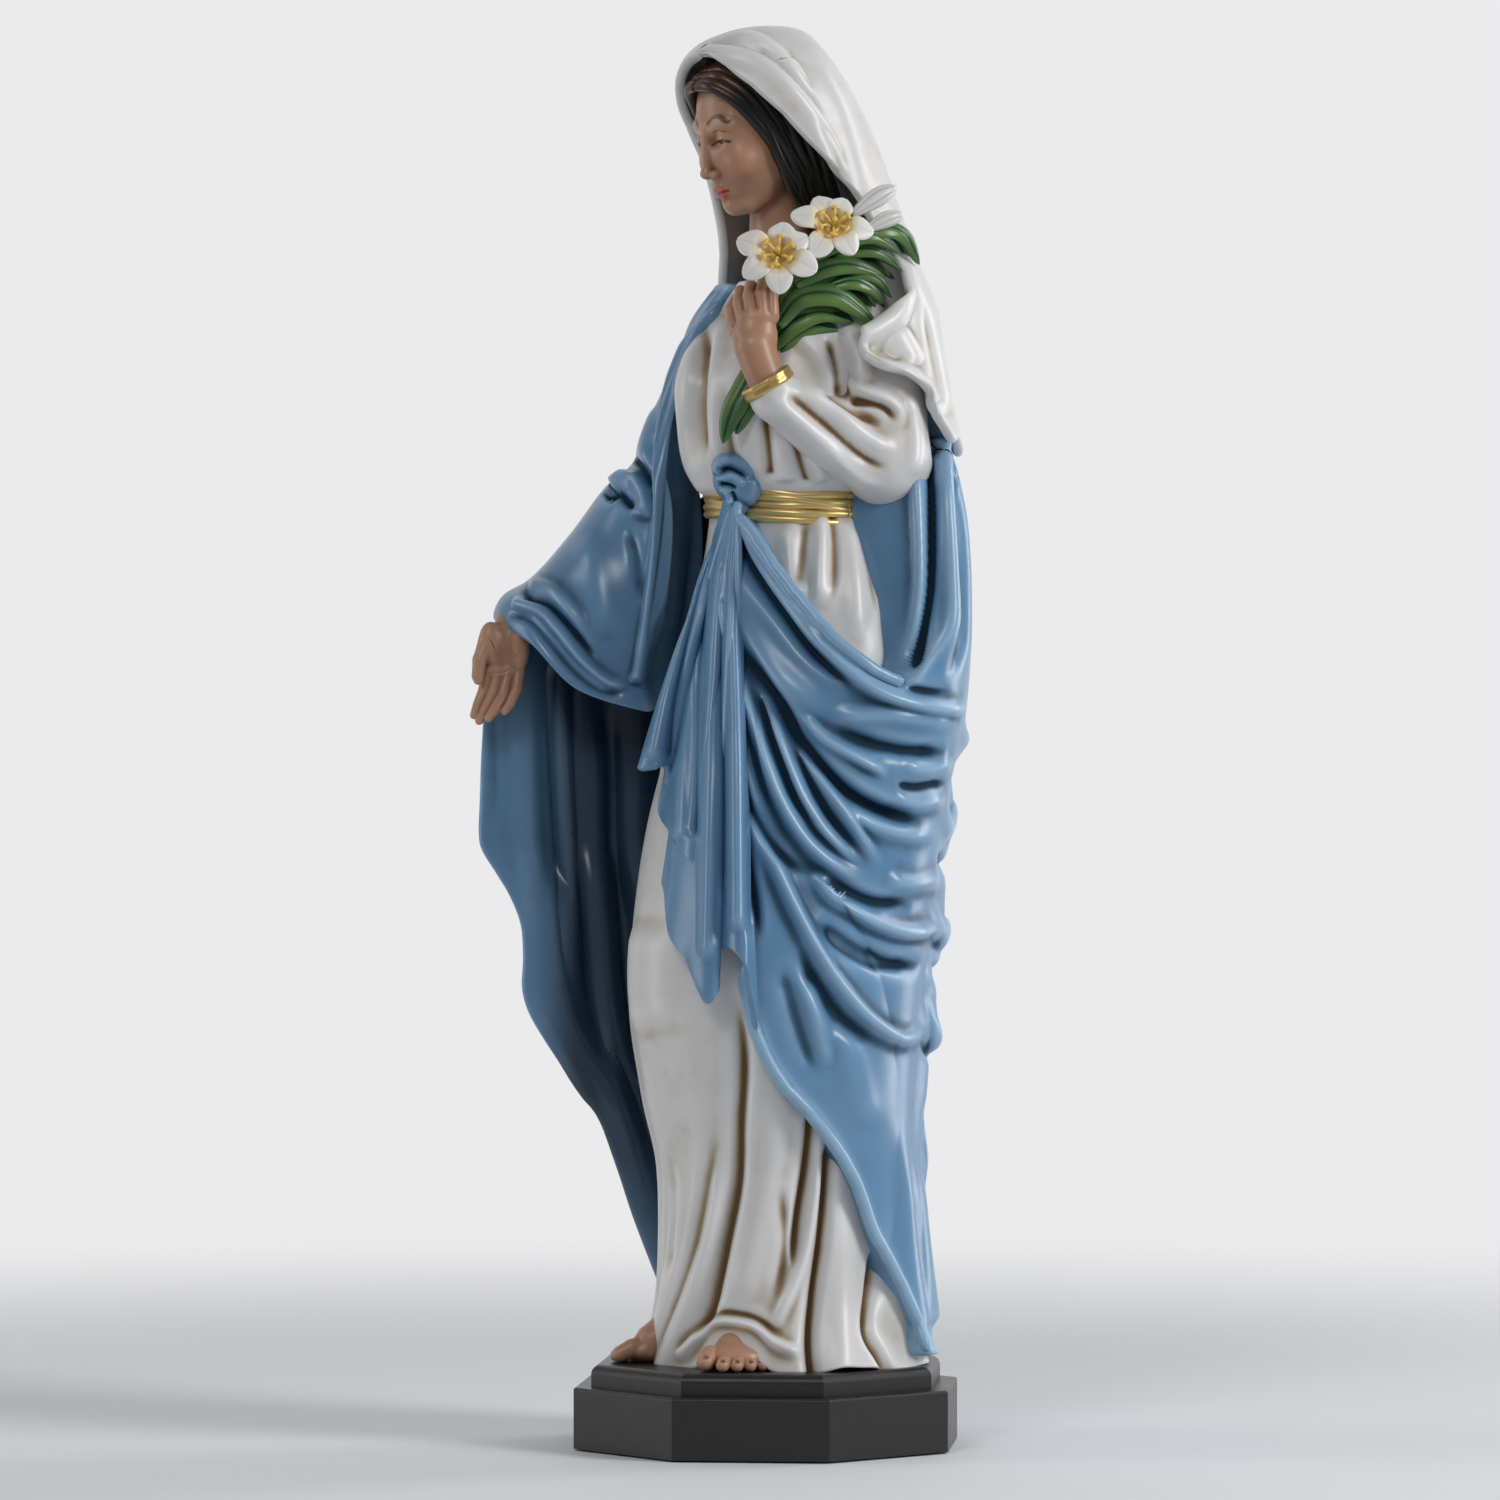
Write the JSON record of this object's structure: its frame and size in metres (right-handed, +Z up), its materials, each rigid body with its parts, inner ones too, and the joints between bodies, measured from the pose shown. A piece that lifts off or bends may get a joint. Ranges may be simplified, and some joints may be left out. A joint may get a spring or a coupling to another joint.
{
  "type": "madonna statue",
  "caption": "Standing robed and veiled woman with one open hand lowered and lilies in the raised hand, on an octagonal plinth; a painted figure for display.",
  "frame": {"origin": "centre of the felt underside, on the table surface", "axes": "+Z up, -Y the way the figure faces, +X the figure's left side"},
  "size_m": [0.0966, 0.0803, 0.3],
  "materials": {
    "plinth_black": "satin charcoal black paint on cast resin",
    "felt": "short-pile felt",
    "steel": "plain turned steel",
    "gown_white": "white paint on cast resin, brown wash in the creases",
    "painted_gold": "metallic gold paint on cast resin, brown wash",
    "mantle_blue": "glossy blue paint on cast resin, dark in the creases",
    "skin": "satin flesh-coloured paint on cast resin",
    "hair_brown": "satin dark brown paint on cast resin",
    "petal_white": "white paint on cast resin, yellow hearts",
    "leaf_green": "dark green paint on cast resin, lighter edges"
  },
  "bodies": {
    "root": {"plinth": "plinth_black", "felt_pad": "felt", "figure_screw": "steel", "screw_washer": "steel", "neck_pin": "steel", "left_wrist_pin": "steel", "right_wrist_pin": "steel", "gown_skirt": "gown_white", "gown_waist": "gown_white", "gown_bodice": "gown_white", "left_sleeve_upper": "gown_white", "left_sleeve_lower": "gown_white", "veil": "gown_white", "girdle_cords": "painted_gold", "gold_cuff": "painted_gold", "mantle_back": "mantle_blue", "mantle_wrap": "mantle_blue", "mantle_knot": "mantle_blue", "mantle_over_arm": "mantle_blue", "mantle_fall": "mantle_blue", "head": "skin", "left_hand": "skin", "right_hand": "skin", "left_foot": "skin", "right_foot": "skin", "hair": "hair_brown", "lily_front": "petal_white", "lily_back": "petal_white", "lily_buds": "petal_white", "lily_leaves": "leaf_green", "lily_stems": "leaf_green"}
  },
  "joints": []
}
